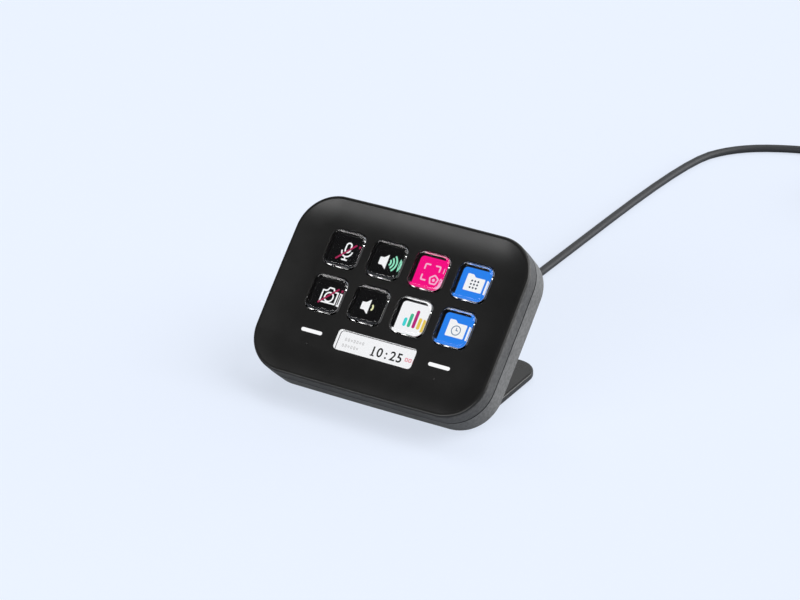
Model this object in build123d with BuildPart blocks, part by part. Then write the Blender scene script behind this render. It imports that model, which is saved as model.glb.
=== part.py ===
from build123d import *

# Desk keypad: eight clear display keys, an info bar and two touch bars in a dished faceplate, with a
# bent plate stand that holds the deck at 45 degrees and a captive USB cable.
#
# Millimetres. Z is up, X to the right and the keys face -Y. The origin is on the desk, under the middle
# of the keypad and its stand. Places on the slab are (u, v, height): across, up the slab, and out of
# the flat key deck.

from math import cos, pi, radians, sin, sqrt, tan
import os

os.makedirs("parts", exist_ok=True)

# ---- slab outline and heights -------------------------------------------------------------------
tilt = 45.0                 # key deck from the desk, degrees
slab_width = 107.0
slab_height = 77.4
corner_radius = 17.0
edge_bow = 0.35             # how far each side swells past its corners
rim_height = 2.5            # raised rim of the dished faceplate
rim_fillet = 0.8
rim_inset = 0.3             # faceplate's edge, inside the slab's outline
dish_inset = 1.7            # start of the dish, inside the slab's outline
dish_width = 12.5           # from the rim down to the flat deck
seam_height = 1.65          # faceplate's lip, over the front shell
split_height = -4.75        # parting line of the two shells
split_gap = 0.45
back_height = -15.4
back_fillet = 1.2
back_draft = 2.2            # degrees
shell_inset = 0.15
shoulder_fillet = 0.5       # front shell's top edge, round the faceplate
skirt_inset = 1.5           # faceplate's body under its lip, inside the slab's outline
back_wall = 1.8
lip_inset, lip_wall = 1.9, 1.0     # back shell's lip behind the parting line
lip_depth, lip_rise = 3.0, 0.75    # below and above the parting line
clear = 0.1                 # between seated pieces
past = 1.0                  # how far a cut runs past the face that it opens

# ---- keys, info bar and touch bars --------------------------------------------------------------
key_pitch = 19.65
key_rows, key_columns = 2, 4
key_grid_v = 7.74           # middle of the key grid
key_size = 15.2
key_corner = 3.2
bevel_width, bevel_drop = 1.0, 0.5     # shallow facet round a cap's top
bevel_inner, bevel_outer = 0.6, 0.3    # rounding of the facet's two edges
key_proud = 1.2             # top of a cap at rest
key_foot = -2.2             # underside of a cap at rest
key_gap = 0.35
flange_reach = 1.0
flange_height = 0.7
deck_thickness = 1.3
bar_width, bar_height, bar_corner = 35.9, 8.55, 1.6
bar_v = -18.49
touch_u, touch_v = 29.38, -18.37
touch_length, touch_width = 9.6, 1.45
pip_drop, pip_radius = 5.5, 0.45
flare_start, flare_rise = -0.25, 0.6   # 45 degree flare round each key opening
guide_wall = 1.4            # walls between the caps' flanges, down to the key mat
flange_play = 0.5

# ---- inside -------------------------------------------------------------------------------------
mat_top, mat_thickness = -3.35, 0.6
mat_width, mat_height, mat_v = 81.6, 53.4, 1.4
mat_play, mat_corner = 1.2, 3.0        # windows in the mat, round the caps and the info bar
pipe_length, pipe_width, pipe_corner, pipe_play = 12.0, 4.0, 0.8, 0.6   # touch bars' light pipes
window_rim_u, window_rim_v = 3.0, 2.2  # info bar window's flange
panel_width, panel_height, panel_v = 82.0, 52.5, 0.75
panel_top, panel_thickness = -4.0, 1.2
backlight_top, backlight_thickness = -5.25, 1.65
tray_top, tray_floor, tray_wall = -4.3, 0.8, 0.8
tray_bottom = -7.8
board_width, board_height, board_corner = 79.0, 58.0, 4.0
board_top, board_thickness = -9.4, 1.6
board_post_u, board_post_v = 34.0, 22.0
rest_u, rest_v = 21.0, 26.0
case_post_u, case_post_v = 44.6, 29.2
front_post_radius, back_post_radius = 2.6, 3.0
screw_radius, shank_radius, head_radius, head_height = 0.8, 0.75, 1.7, 1.2
head_gap = 0.02             # between a screw head and its seat
head_play = 0.2             # round a sunk screw head
hex_radius, hex_depth = 0.8, 0.7
flex_width, flex_thickness = 20.0, 0.2

# ---- stand --------------------------------------------------------------------------------------
stand_width = 87.8
plate = 3.0
bend_radius = 1.2           # inside of the bend
plate_corner = 9.5
plate_edge = 0.9            # rounding of the plate's edges
pad_thickness = 0.8         # rubber under the foot
pad_recess = 0.4
pad_length, pad_width, pad_play, pad_fillet = 20.0, 9.0, 0.2, 0.3
pad_u, front_pad_y, rear_pad_inset = 31.0, 1.0, 9.5   # front pads behind the deck's middle
foot_rear = 43.3            # foot's rear edge, behind the middle of the deck
arm_top_v = 4.0
stand_screw_u, stand_screw_v, stand_screw_pitch = 28.0, -14.0, 16.0

# ---- cable --------------------------------------------------------------------------------------
cable_radius = 1.75
cable_exit_v = 13.0
relief_length, relief_neck = 13.0, 2.65
coil_x, coil_y = 100.0, 259.0
coil_inner, coil_outer, coil_height, coil_fillet = 11.5, 30.6, 7.1, 3.0
outer_turn = 28.7           # centre line of the coil's first and outermost turn
tail_turn = 27.8            # centre line of the last turn, where the tail leaves the upper layer
tie_width, tie_thickness, tie_corner = 9.0, 0.7, 2.9
tie_near, tie_far = 10.45, 30.65   # the strap's inner faces, from the coil's centre
tie_lap = 13.0              # where the strap lies double
plug_z = 4.15

# ---- placing ------------------------------------------------------------------------------------
lean = radians(tilt)
half_w, half_h = slab_width / 2, slab_height / 2
front_reach = (half_h - rim_inset - rim_fillet + rim_height - rim_fillet) * cos(lean) + rim_fillet
low_v = half_h - shell_inset - (split_height - back_height) * tan(radians(back_draft))
low_reach = (low_v - back_fillet - back_height - back_fillet) * sin(lean) + back_fillet
deck_y = (front_reach - foot_rear) / 2
deck_z = pad_thickness + low_reach
deck = Plane(origin=(0, deck_y, deck_z), x_dir=(1, 0, 0), z_dir=(0, -sin(lean), cos(lean)))
deck_axis = Axis(deck.origin, deck.z_dir)
foot_rear_y = deck_y + foot_rear


def place(u, v, height):
    """The room position of a slab place."""
    return deck.from_local_coords(Vector(u, v, height))


def side_point(v, height):
    """The (y, z) pair of a slab place, for profiles drawn from the side."""
    spot = place(0, v, height)
    return (spot.Y, spot.Z)


def inset_outline(inset):
    """The slab's outline, drawn smaller by an inset."""
    with BuildSketch() as drawn:
        add(outline.sketch)
        offset(amount=-inset)
    return drawn.sketch


def band(low, high, outer, inner=None, mode=Mode.ADD):
    """A prism between two heights whose outside, and hole if any, are insets of the outline."""
    with BuildSketch(deck.offset(low)) as section:
        add(inset_outline(outer))
        if inner is not None:
            add(inset_outline(inner), mode=Mode.SUBTRACT)
    extrude(section.sketch, amount=high - low, mode=mode)


def pillars(spots, low, high, radius, mode=Mode.ADD):
    """Round posts or holes at slab spots, between two heights."""
    with BuildSketch(deck.offset(low)) as section:
        with Locations(*spots):
            Circle(radius)
    extrude(section.sketch, amount=high - low, mode=mode)


def blocks(spots, low, high, width, height, corner=0.3, mode=Mode.ADD):
    """Rounded blocks or pockets at slab spots, between two heights."""
    with BuildSketch(deck.offset(low)) as section:
        with Locations(*spots):
            RectangleRounded(width, height, corner)
    extrude(section.sketch, amount=high - low, mode=mode)


def corners(u, v, middle_v=0.0):
    """The four mirrored spots of a rectangle."""
    return [(x * u, middle_v + y * v) for y in (-1, 1) for x in (-1, 1)]


key_spots = {
    (row + 1, column + 1): (
        (column - (key_columns - 1) / 2) * key_pitch,
        key_grid_v + ((key_rows - 1) / 2 - row) * key_pitch,
    )
    for row in range(key_rows)
    for column in range(key_columns)
}
bar_spot = [(0, bar_v)]
touch_spots = [(-touch_u, touch_v), (touch_u, touch_v)]
case_posts = corners(case_post_u, case_post_v)
board_posts = corners(board_post_u, board_post_v)
rest_posts = corners(rest_u, rest_v, panel_v)
stand_holes = corners(stand_screw_u, stand_screw_pitch / 2, stand_screw_v)

# The slab's outline: four slightly bowed sides with large round corners.
with BuildSketch() as outline:
    with BuildLine():
        flat_w, flat_h = half_w - edge_bow, half_h - edge_bow
        ThreePointArc((-flat_w, -flat_h), (0, -half_h), (flat_w, -flat_h))
        ThreePointArc((flat_w, -flat_h), (half_w, 0), (flat_w, flat_h))
        ThreePointArc((flat_w, flat_h), (0, half_h), (-flat_w, flat_h))
        ThreePointArc((-flat_w, flat_h), (-half_w, 0), (-flat_w, -flat_h))
    make_face()
    fillet(outline.vertices(), radius=corner_radius)

# ---- faceplate: dished, with a raised rim -------------------------------------------------------
# The dish is swept round the rim: an arc that leaves the flat deck tangentially and climbs outwards.
dish_radius = (dish_width**2 + rim_height**2) / (2 * rim_height)
dish_rim = (deck.offset(rim_height) * inset_outline(dish_inset)).face().outer_wire()
dish_start = Plane(place(0, half_h - dish_inset, rim_height), x_dir=deck.y_dir, z_dir=-deck.x_dir)
with BuildPart() as dish:
    with BuildSketch(dish_start):
        with BuildLine():
            half_rise = dish_radius - sqrt(dish_radius**2 - (dish_width / 2) ** 2)
            ThreePointArc((0, 0), (-dish_width / 2, rim_height - half_rise), (-dish_width, rim_height))
            Polyline((-dish_width, rim_height), (-dish_width, -1), (0, -1), (0, 0))
        make_face()
    sweep(path=dish_rim)
    band(0, rim_height + 1, dish_inset + dish_width - 0.02)

pocket_edge, pocket_bend, pocket_end = 3.7, 5.5, 9.0   # relief under the dish, inside the outline
pocket_step, pocket_roof = -0.7, 0.2
opening = key_size + 2 * key_gap
hook_reach = 2.6            # hook stems, inside the slab's outline
hook_width = 6.0
hook_root, hook_catch, hook_tip = -1.2, -2.7, -3.6     # heights on a hook
hook_barb, hook_stem = 0.4, 1.0
hooks = [(deck.y_dir, -22), (deck.y_dir, 16), (-deck.y_dir, -16), (-deck.y_dir, 22)]
hooks += [(deck.x_dir, -13), (deck.x_dir, 7), (-deck.x_dir, -7), (-deck.x_dir, 13)]


def edge_plane(outward, along):
    """A plane across the slab's edge: x outwards, y out of the deck, z along the edge."""
    z_dir = outward.cross(deck.z_dir)
    reach = half_h if abs(outward.X) < 0.5 else half_w
    return Plane(deck.origin + outward * reach + z_dir * along, x_dir=outward, z_dir=z_dir)


with BuildPart() as faceplate:
    band(seam_height, rim_height, rim_inset)
    fillet(faceplate.faces().sort_by(deck_axis)[-1].edges(), radius=rim_fillet)
    band(-deck_thickness, seam_height + 2 * clear, skirt_inset)
    band(-deck_thickness, pocket_step, pocket_edge, pocket_end, mode=Mode.SUBTRACT)
    band(pocket_step, pocket_roof, pocket_edge, pocket_bend, mode=Mode.SUBTRACT)
    add(dish.part, mode=Mode.SUBTRACT)
    # Key openings, flared at the top, with guide walls below between the caps' flanges.
    opening_corner = key_corner + key_gap
    blocks(key_spots.values(), -deck_thickness, past, opening, opening, opening_corner, Mode.SUBTRACT)
    with BuildSketch(deck.offset(flare_start)):
        with Locations(*key_spots.values()):
            RectangleRounded(opening, opening, opening_corner)
    extrude(amount=flare_rise, taper=-45, mode=Mode.SUBTRACT)
    field_w = key_pitch * (key_columns - 1) + key_size + 2 * (flange_reach + flange_play)
    field_h = key_pitch * (key_rows - 1) + key_size + 2 * (flange_reach + flange_play)
    with BuildSketch(deck.offset(mat_top + clear)):
        with Locations((0, key_grid_v)):
            Rectangle(field_w + 2 * guide_wall, field_h + 2 * guide_wall)
            Rectangle(field_w, field_h, mode=Mode.SUBTRACT)
            Rectangle(field_w, guide_wall)
            with GridLocations(key_pitch, key_pitch, key_columns - 1, 1):
                Rectangle(guide_wall, field_h)
    extrude(amount=-deck_thickness - mat_top - clear)
    # Info bar window, touch bars and their feel pips.
    bar_low = -deck_thickness - past
    bar_hole = (bar_width + 2 * clear, bar_height + 2 * clear)
    blocks(bar_spot, bar_low, past, *bar_hole, bar_corner + clear, Mode.SUBTRACT)
    touch_hole = (touch_length + clear, touch_width + clear)
    blocks(touch_spots, bar_low, past, *touch_hole, touch_width / 2, Mode.SUBTRACT)
    with Locations(*[place(u, v - pip_drop, 0) for u, v in touch_spots]):
        Sphere(pip_radius)
    # Snap hooks that catch under the front shell's ledge.
    for outward, along in hooks:
        with BuildSketch(edge_plane(outward, along - hook_width / 2)):
            with BuildLine():
                Polyline(
                    (-hook_reach, hook_root),
                    (-hook_reach, hook_catch),
                    (-hook_reach + hook_barb, hook_catch - clear),
                    (-hook_reach, hook_tip),
                    (-hook_reach - hook_stem, hook_tip),
                    (-hook_reach - hook_stem, hook_root),
                    close=True,
                )
            make_face()
        extrude(amount=hook_width)
faceplate.part.label = "faceplate"
export_step(faceplate.part, "parts/faceplate.step")

# ---- front shell: the grey ring that carries the faceplate --------------------------------------
ledge_top, ledge_bottom, ledge_inset = -1.4, -2.6, 4.0
front_inner, mouth_inset = 1.65, 1.4   # inside of the ring, below and above the ledge
slot_reach, slot_play = 1.5, 0.3       # slots for the faceplate's hooks
front_post_top, pilot_end = -2.2, -3.2   # the posts run into the ledge, their screw holes stop below it
with BuildPart() as front_shell:
    band(split_height, seam_height - clear, shell_inset)
    fillet(front_shell.faces().sort_by(deck_axis)[-1].edges(), radius=shoulder_fillet)
    band(split_height, ledge_bottom, front_inner, mode=Mode.SUBTRACT)
    band(ledge_bottom, ledge_top, ledge_inset, mode=Mode.SUBTRACT)
    band(ledge_top, seam_height, mouth_inset, mode=Mode.SUBTRACT)
    pillars(case_posts, tray_bottom + tray_floor + clear, front_post_top, front_post_radius)
    for outward, along in hooks:
        with BuildSketch(edge_plane(outward, along - hook_width / 2 - slot_play)):
            with Locations((-hook_reach - slot_reach / 2, (ledge_top + ledge_bottom) / 2)):
                Rectangle(slot_reach + clear, ledge_top - ledge_bottom + past)
        extrude(amount=hook_width + 2 * slot_play, mode=Mode.SUBTRACT)
    pillars(case_posts, tray_bottom, pilot_end, screw_radius, mode=Mode.SUBTRACT)
front_shell.part.label = "front_shell"
export_step(front_shell.part, "parts/front_shell.step")

# ---- back shell: drafted tub with screw bosses, board rests and a lip behind the parting line ----
back_top = split_height - split_gap
back_floor = back_height + back_wall
case_seat = back_floor - 0.3           # where the case screws' heads sit, in their counterbores
rest_radius = 1.5
stand_boss_height, stand_boss_radius, stand_hole_depth = 2.0, 2.4, 1.4
cable_hole = [(0, cable_exit_v)]
with BuildPart() as back_shell:
    with BuildSketch(deck.offset(back_top)):
        add(inset_outline(shell_inset))
    extrude(amount=back_height - back_top, taper=back_draft)
    fillet(back_shell.faces().sort_by(deck_axis)[0].edges(), radius=back_fillet)
    with BuildSketch(deck.offset(back_top)):
        add(inset_outline(shell_inset + back_wall))
    extrude(amount=back_floor - back_top, taper=back_draft, mode=Mode.SUBTRACT)
    band(back_top - lip_depth, split_height + lip_rise, lip_inset, lip_inset + lip_wall)
    post_low = back_floor - 2 * clear
    pillars(case_posts, post_low, tray_bottom - clear, back_post_radius)
    pillars(rest_posts, post_low, board_top - board_thickness - clear, rest_radius)
    pillars(stand_holes, post_low, back_floor + stand_boss_height, stand_boss_radius)
    back_low = back_height - past
    pillars(case_posts, back_low, case_seat, head_radius + head_play, mode=Mode.SUBTRACT)
    pillars(case_posts, back_low, tray_bottom, screw_radius + clear, mode=Mode.SUBTRACT)
    pillars(stand_holes, back_low, back_floor + stand_hole_depth, screw_radius, mode=Mode.SUBTRACT)
    pillars(cable_hole, back_low, back_floor + past, relief_neck + clear, mode=Mode.SUBTRACT)
back_shell.part.label = "back_shell"
export_step(back_shell.part, "parts/back_shell.step")

# ---- key caps: clear blocks with a flange that the faceplate retains -----------------------------
for (row, column), spot in key_spots.items():
    with BuildPart() as key_cap:
        blocks([spot], key_foot, key_proud, key_size, key_size, key_corner)
        cap_top = key_cap.faces().sort_by(deck_axis)[-1]
        chamfer(cap_top.edges(), length=bevel_width, length2=bevel_drop, reference=cap_top)
        rings = key_cap.edges().group_by(deck_axis)
        fillet(rings[-3], radius=bevel_outer)
        fillet(key_cap.faces().sort_by(deck_axis)[-1].edges(), radius=bevel_inner)
        flange_size = key_size + 2 * flange_reach
        blocks([spot], key_foot, key_foot + flange_height, flange_size, flange_size, key_corner)
    key_cap.part.label = f"key_cap_{row}_{column}"
    export_step(key_cap.part, f"parts/key_cap_{row}_{column}.step")

# ---- key mat: silicone sheet with a window under each cap, the info bar and the touch bars -------
with BuildPart() as key_mat:
    blocks([(0, mat_v)], mat_top - mat_thickness, mat_top, mat_width, mat_height, mat_corner)
    mat_low = mat_top - past
    window = key_size + mat_play
    blocks(key_spots.values(), mat_low, mat_top + past, window, window, key_corner, Mode.SUBTRACT)
    bar_window = (bar_width + mat_play, bar_height + mat_play)
    blocks(bar_spot, mat_low, mat_top + past, *bar_window, bar_corner, Mode.SUBTRACT)
    touch_window = (pipe_length + pipe_play, pipe_width + pipe_play)
    blocks(touch_spots, mat_low, mat_top + past, *touch_window, pipe_corner, Mode.SUBTRACT)
key_mat.part.label = "key_mat"
export_step(key_mat.part, "parts/key_mat.step")

# ---- info bar window and touch bar light pipes ---------------------------------------------------
flange_high = -deck_thickness - clear  # top of the flanges that sit under the faceplate
window_rim, window_sink, window_fillet = 0.6, 0.05, 0.2
window_low = flange_high - window_rim
pipe_proud, pipe_low = 0.05, -3.9
with BuildPart() as infobar_window:
    blocks(bar_spot, window_low, -window_sink, bar_width, bar_height, bar_corner)
    fillet(infobar_window.faces().sort_by(deck_axis)[-1].edges(), radius=window_fillet)
    flange_size = (bar_width + window_rim_u, bar_height + window_rim_v)
    blocks(bar_spot, window_low, flange_high, *flange_size, bar_corner + window_rim_v / 2)
infobar_window.part.label = "infobar_window"
export_step(infobar_window.part, "parts/infobar_window.step")

for name, spot in zip(("touch_light_left", "touch_light_right"), touch_spots):
    with BuildPart() as touch_light:
        blocks([spot], flange_high - past, pipe_proud, touch_length, touch_width, touch_width / 2 - 0.01)
        blocks([spot], pipe_low, flange_high, pipe_length, pipe_width, pipe_corner)
    touch_light.part.label = name
    export_step(touch_light.part, f"parts/{name}.step")

foil, foil_length, foil_width, foil_corner = 0.25, 15.0, 8.0, 1.2
with BuildPart() as touch_electrodes:
    blocks(touch_spots, flange_high - foil, flange_high, foil_length, foil_width, foil_corner)
    foil_hole = (pipe_length + pipe_play / 2, pipe_width + pipe_play / 2)
    foil_low = flange_high - past
    blocks(touch_spots, foil_low, flange_high + past, *foil_hole, pipe_corner + clear, Mode.SUBTRACT)
touch_electrodes.part.label = "touch_electrodes"
export_step(touch_electrodes.part, "parts/touch_electrodes.step")

# ---- display: glass panel over a backlight in a tray whose ears the case screws clamp ------------
panel_spot = [(0, panel_v)]
panel_corner, tray_corner, light_inset = 0.6, 1.2, 0.3
with BuildPart() as lcd_panel:
    blocks(panel_spot, panel_top - panel_thickness, panel_top, panel_width, panel_height, panel_corner)
lcd_panel.part.label = "lcd_panel"
export_step(lcd_panel.part, "parts/lcd_panel.step")

with BuildPart() as backlight:
    backlight_low = backlight_top - backlight_thickness
    light_size = (panel_width - 2 * light_inset, panel_height - 2 * light_inset)
    blocks(panel_spot, backlight_low, backlight_top, *light_size, panel_corner)
backlight.part.label = "backlight"
export_step(backlight.part, "parts/backlight.step")

ear_u, ear_v = 39.5, 24.9
with BuildPart() as lcd_tray:
    pocket_size = (panel_width + 2 * clear, panel_height + 2 * clear)
    tray_size = (pocket_size[0] + 2 * tray_wall, pocket_size[1] + 2 * tray_wall)
    pocket_low = tray_bottom + tray_floor
    blocks(panel_spot, tray_bottom, tray_top, *tray_size, tray_corner)
    blocks(panel_spot, pocket_low, 0, *pocket_size, panel_corner, Mode.SUBTRACT)
    ear_length = ((case_post_u - ear_u) ** 2 + (case_post_v - ear_v) ** 2) ** 0.5
    with BuildSketch(deck.offset(tray_bottom)):
        for x in (-1, 1):
            for y in (-1, 1):
                turn = Vector(x * (case_post_u - ear_u), y * (case_post_v - ear_v)).get_signed_angle(
                    Vector(1, 0, 0), Vector(0, 0, -1)
                )
                with Locations((x * (case_post_u + ear_u) / 2, y * (case_post_v + ear_v) / 2)):
                    SlotCenterToCenter(ear_length, 2 * front_post_radius, rotation=turn)
    extrude(amount=tray_floor)
    tray_holes = case_posts + board_posts
    pillars(tray_holes, tray_bottom - past, pocket_low + past, screw_radius + clear, mode=Mode.SUBTRACT)
    flex_gap = [(0, panel_v - panel_height / 2)]
    blocks(flex_gap, tray_top - past, tray_top + past, flex_width + 1, 4, mode=Mode.SUBTRACT)
lcd_tray.part.label = "lcd_tray"
export_step(lcd_tray.part, "parts/lcd_tray.step")

# The display's ribbon leaves the panel's lower edge and turns back under the tray to the board.
ribbon_lift, ribbon_reach, ribbon_tail = 0.35, 1.6, 5.0
ribbon_high = tray_top - ribbon_lift
ribbon_low = board_top + ribbon_lift
ribbon_turn_v = panel_v - panel_height / 2 - ribbon_reach
ribbon_end_v = ribbon_turn_v + ribbon_tail
with BuildPart() as display_flex:
    with BuildSketch(Plane.YZ.offset(-flex_width / 2)):
        with BuildLine() as ribbon:
            turn_radius = (ribbon_high - ribbon_low) / 2
            turn_middle = side_point(ribbon_turn_v - turn_radius, (ribbon_high + ribbon_low) / 2)
            start = side_point(panel_v - panel_height / 2 - clear, ribbon_high)
            turn_high = side_point(ribbon_turn_v, ribbon_high)
            turn_low = side_point(ribbon_turn_v, ribbon_low)
            Line(start, turn_high)
            ThreePointArc(turn_high, turn_middle, turn_low)
            Line(turn_low, side_point(ribbon_end_v, ribbon_low))
        trace(line_width=flex_thickness)
    extrude(amount=flex_width)
display_flex.part.label = "display_flex"
export_step(display_flex.part, "parts/display_flex.step")

# ---- main board on its spacers -------------------------------------------------------------------
board_low = board_top - board_thickness
spacer_radius = 2.0
with BuildPart() as board_spacers:
    pillars(board_posts, board_top + clear, tray_bottom - clear, spacer_radius)
    pillars(board_posts, board_top - past, tray_bottom + past, screw_radius + clear, mode=Mode.SUBTRACT)
board_spacers.part.label = "board_spacers"
export_step(board_spacers.part, "parts/board_spacers.step")

with BuildPart() as main_board:
    blocks(panel_spot, board_low, board_top, board_width, board_height, board_corner)
    pillars(board_posts, board_low - past, board_top + past, screw_radius + clear, mode=Mode.SUBTRACT)
main_board.part.label = "main_board"
export_step(main_board.part, "parts/main_board.step")

# Chips under the board: their spots, width, height and thickness.
chips = [
    ([(-13, 4)], 10.0, 10.0, 1.1),
    ([(4, -6)], 6.0, 5.0, 0.9),
    ([(16, 6), (16, -2)], 4.5, 3.5, 0.8),
    ([(-24, 14), (-24, 9.5), (-24, 5)], 3.2, 1.8, 0.7),
]
with BuildPart() as board_chips:
    for spots, width, height, thickness in chips:
        blocks(spots, board_low - thickness, board_low, width, height)
board_chips.part.label = "board_chips"
export_step(board_chips.part, "parts/board_chips.step")

ribbon_socket, ribbon_socket_rise = (flex_width + 3, 2.9), 1.0
cable_socket, cable_socket_rise = (9.0, 4.5), 1.3
with BuildPart() as board_connectors:
    ribbon_socket_v = ribbon_end_v + ribbon_reach
    blocks([(0, ribbon_socket_v)], board_top, board_top + ribbon_socket_rise, *ribbon_socket)
    blocks([(20, cable_exit_v + 4)], board_low - cable_socket_rise, board_low, *cable_socket)
board_connectors.part.label = "board_connectors"
export_step(board_connectors.part, "parts/board_connectors.step")


def screws(spots, seat, tip, hexed=False):
    """Screws driven towards the deck: a head below its seat, with a hex socket if asked, and a shank."""
    pillars(spots, seat, tip, shank_radius)
    pillars(spots, seat - head_height, seat, head_radius)
    if hexed:
        with BuildSketch(deck.offset(seat - head_height)) as socket:
            with Locations(*spots):
                RegularPolygon(hex_radius, 6)
        extrude(socket.sketch, amount=hex_depth, mode=Mode.SUBTRACT)


case_screw_tip = -3.5
board_screw_tip = tray_bottom + 0.5
stand_screw_tip = back_floor + 1.0

with BuildPart() as board_screws:
    screws(board_posts, board_low - head_gap, board_screw_tip)
board_screws.part.label = "board_screws"
export_step(board_screws.part, "parts/board_screws.step")

with BuildPart() as case_screws:
    screws(case_posts, case_seat - head_gap, case_screw_tip, hexed=True)
case_screws.part.label = "case_screws"
export_step(case_screws.part, "parts/case_screws.step")

# ---- stand: one bent plate, its arm screwed to the back shell and its foot on the desk -----------
foot_top = pad_thickness + plate
arm_front = back_height - clear
arm_rear = arm_front - plate
front_bend_v = (pad_thickness - deck_z) / sin(lean) - arm_front
rear_bend_v = (foot_top - deck_z) / sin(lean) - arm_rear
screw_seat = arm_rear + plate / 2
pad_rows = (deck_y + front_pad_y, foot_rear_y - rear_pad_inset)
pad_spots = [(x * pad_u, y) for x in (-1, 1) for y in pad_rows]
with BuildPart() as stand:
    with BuildSketch(Plane.YZ.offset(-stand_width / 2)) as stand_side:
        with BuildLine():
            Polyline(
                side_point(arm_top_v, arm_front),
                side_point(front_bend_v, arm_front),
                (foot_rear_y, pad_thickness),
                (foot_rear_y, foot_top),
                side_point(rear_bend_v, arm_rear),
                side_point(arm_top_v, arm_rear),
                close=True,
            )
        make_face()
        fillet(stand_side.vertices().sort_by(Axis.X)[1], radius=bend_radius)
        fillet(stand_side.vertices().sort_by(Axis.X)[0], radius=bend_radius + plate)
    extrude(amount=stand_width)
    fillet(stand.edges().filter_by(Axis.Z).sort_by(Axis.Y)[-2:], radius=plate_corner)
    fillet(stand.edges().filter_by(deck_axis).sort_by(Axis.Z)[-2:], radius=plate_corner)
    # The rim is every edge but the bend's four seams and the short ones through the plate.
    seams = stand.edges().filter_by(Axis.X).sort_by(Axis.Y)[:4]
    through = stand.edges().filter_by(Axis.Z) + stand.edges().filter_by(deck_axis)
    fillet(stand.edges() - seams - through, radius=plate_edge)
    with BuildSketch(Plane.XY.offset(pad_thickness)):
        with Locations(*pad_spots):
            RectangleRounded(pad_length, pad_width, pad_width / 2 - 0.01)
    extrude(amount=pad_recess, mode=Mode.SUBTRACT)
    pillars(stand_holes, arm_rear - past, arm_front + past, screw_radius + clear, mode=Mode.SUBTRACT)
    pillars(stand_holes, arm_rear - past, screw_seat, head_radius + head_play, mode=Mode.SUBTRACT)
stand.part.label = "stand"
export_step(stand.part, "parts/stand.step")

with BuildPart() as foot_pads:
    with BuildSketch(Plane.XY):
        with Locations(*pad_spots):
            pad_end = pad_width / 2 - pad_play
            RectangleRounded(pad_length - 2 * pad_play, 2 * pad_end, pad_end - 0.01)
    extrude(amount=pad_thickness + pad_recess)
    fillet(foot_pads.faces().filter_by(Axis.Z).group_by(Axis.Z)[0].edges(), radius=pad_fillet)
foot_pads.part.label = "foot_pads"
export_step(foot_pads.part, "parts/foot_pads.step")

with BuildPart() as stand_screws:
    screws(stand_holes, screw_seat - head_gap, stand_screw_tip, hexed=True)
stand_screws.part.label = "stand_screws"
export_step(stand_screws.part, "parts/stand_screws.step")

# ---- strain relief: a grooved sleeve turned about the cable, with a flange inside the back shell --
relief_base = back_height - 0.05
relief_end = back_height - relief_length
relief_root, relief_tip = 3.4, 2.4
relief_flange, flange_rise = 3.8, 1.3   # inside the back shell
flange_seat = back_floor + 0.05
groove_count, groove_depth, groove_width = 5, 0.45, 0.9
with BuildPart() as strain_relief:
    with BuildSketch(Plane(place(0, cable_exit_v, 0), x_dir=deck.x_dir, z_dir=-deck.y_dir)):
        with BuildLine():
            Polyline(
                (0, back_floor + flange_rise),
                (relief_flange, back_floor + flange_rise),
                (relief_flange, flange_seat),
                (relief_neck, flange_seat),
                (relief_neck, relief_base),
                (relief_root, relief_base),
                (relief_tip, relief_end),
                (0, relief_end),
                close=True,
            )
        make_face()
        for groove in range(groove_count):
            reach = (groove + 1) / (groove_count + 1)
            groove_radius = relief_root + (relief_tip - relief_root) * reach
            with Locations((groove_radius, relief_base - reach * relief_length)):
                Rectangle(2 * groove_depth, groove_width, mode=Mode.SUBTRACT)
    revolve(axis=Axis(place(0, cable_exit_v, 0), deck.z_dir))
strain_relief.part.label = "strain_relief"
export_step(strain_relief.part, "parts/strain_relief.step")

# ---- cable: down to the desk, straight back, round to the right into the coil ---------------------
# The coil lies on its tie: two flat layers of turns, wound inwards on the desk and outwards above.
desk_line = cable_radius    # height of a cable that lies on the desk
coil_base = tie_thickness + clear / 2
lower_turns = coil_base + cable_radius
upper_turns = lower_turns + 2 * cable_radius
coil_back = coil_y + outer_turn
coil_right = coil_x + tail_turn
coil_entry, tail_start = 8.4, 11.0   # where the cable goes into the ring, beside its centre
relief_mouth = place(0, cable_exit_v, relief_end)
touch_down = relief_mouth.Y + relief_mouth.Z - desk_line
cable_route = [
    (0, relief_mouth.Y, relief_mouth.Z),
    (0, touch_down, desk_line),
    (0.6, 104.6, desk_line),
    (2.75, 246.0, desk_line),
    (15.5, 273.0, desk_line),
    (43.0, 287.5, desk_line),
    (60.0, coil_back, 2.0),
    (coil_x - coil_entry, coil_back, lower_turns),
]
tail_route = [
    (coil_right, coil_y - tail_start, upper_turns),
    (coil_right + 0.2, coil_y - 24.0, 5.4),
    (coil_right + 0.8, coil_y - 37.0, 1.6),
    (coil_right + 1.8, coil_y - 50.0, plug_z),
    (coil_right + 1.8, coil_y - 62.0, plug_z),
]


def bend_radii(route):
    """For each inner point of a route, the largest arc that its two runs allow."""
    spots = [Vector(*point) for point in route]
    radii = []
    for before, spot, after in zip(spots, spots[1:], spots[2:]):
        turn = radians((spot - before).get_angle(after - spot))
        shorter = min((spot - before).length, (after - spot).length)
        radii.append(0.45 * shorter / tan(turn / 2))
    return radii


def lay_cable(route):
    """Adds a round cable along a route to the current part, and gives its length."""
    with BuildLine() as path:
        FilletPolyline(*route, radius=bend_radii(route))
    wire = path.wire()
    with BuildSketch(Plane(wire @ 0, z_dir=wire % 0)) as section:
        Circle(cable_radius)
    sweep(section.sketch, path=wire)
    return wire.length


with BuildPart() as cable_run:
    run_length = lay_cable(cable_route)
cable_run.part.label = "cable_run"
export_step(cable_run.part, "parts/cable_run.step")

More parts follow.
